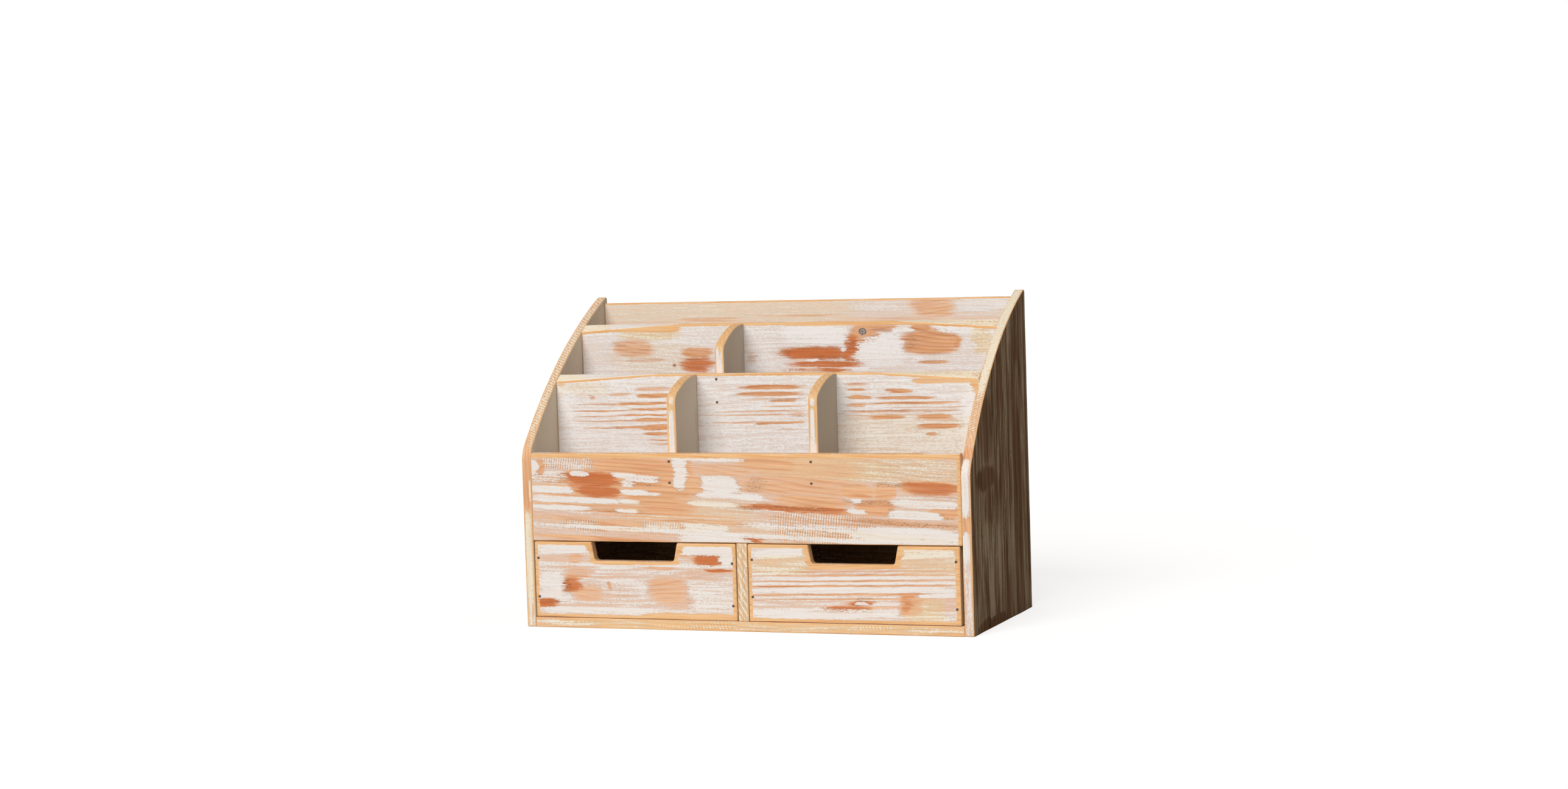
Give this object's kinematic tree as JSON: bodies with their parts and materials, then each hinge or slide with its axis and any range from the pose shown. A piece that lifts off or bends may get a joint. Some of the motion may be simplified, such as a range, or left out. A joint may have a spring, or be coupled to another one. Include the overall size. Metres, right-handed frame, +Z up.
{
  "type": "envelope sorter with drawers",
  "caption": "Whitewashed wooden desk sorter: three stepped rows of letter compartments with dividers and curved sides, over two side-by-side drawers with finger notches.",
  "frame": {"origin": "middle of the base, at the bounding box's bottom centre", "axes": "+X to the right along the longest extent, +Y from the open front to the back along the shortest extent, +Z up"},
  "size_m": [0.406, 0.177, 0.2801],
  "materials": {
    "whitewashed_wood": "distressed white wash over orange softwood, edges sanded bare",
    "whitewashed_side_wood": "distressed white wash, upright grain with brown streaks",
    "drawer_wood": "plain unpainted softwood and plywood",
    "nail_steel": "dulled brads, heads slightly below the surface"
  },
  "bodies": {
    "carcass": {"left_side": "whitewashed_side_wood", "right_side": "whitewashed_side_wood", "back_panel": "whitewashed_wood", "bottom_board": "whitewashed_wood", "drawer_shelf": "whitewashed_wood", "drawer_partition": "whitewashed_wood", "front_panel": "whitewashed_wood", "front_tier_panel": "whitewashed_wood", "rear_tier_panel": "whitewashed_wood", "front_left_divider": "whitewashed_wood", "front_right_divider": "whitewashed_wood", "rear_divider": "whitewashed_wood", "left_side_nails": "nail_steel", "right_side_nails": "nail_steel", "front_panel_nails": "nail_steel", "tier_panel_nails": "nail_steel", "partition_nails": "nail_steel", "back_panel_nails": "nail_steel"},
    "left_drawer": {"left_drawer_front": "whitewashed_wood", "left_drawer_left_wall": "drawer_wood", "left_drawer_right_wall": "drawer_wood", "left_drawer_back": "drawer_wood", "left_drawer_bottom": "drawer_wood", "left_drawer_nails": "nail_steel"},
    "right_drawer": {"right_drawer_front": "whitewashed_wood", "right_drawer_left_wall": "drawer_wood", "right_drawer_right_wall": "drawer_wood", "right_drawer_back": "drawer_wood", "right_drawer_bottom": "drawer_wood", "right_drawer_nails": "nail_steel"}
  },
  "joints": [
    {"name": "left_drawer_slide", "type": "slide", "parent": "carcass", "child": "left_drawer", "axis": [0, -1, 0], "range_m": [0, 0.13]},
    {"name": "right_drawer_slide", "type": "slide", "parent": "carcass", "child": "right_drawer", "axis": [0, -1, 0], "range_m": [0, 0.13]}
  ]
}
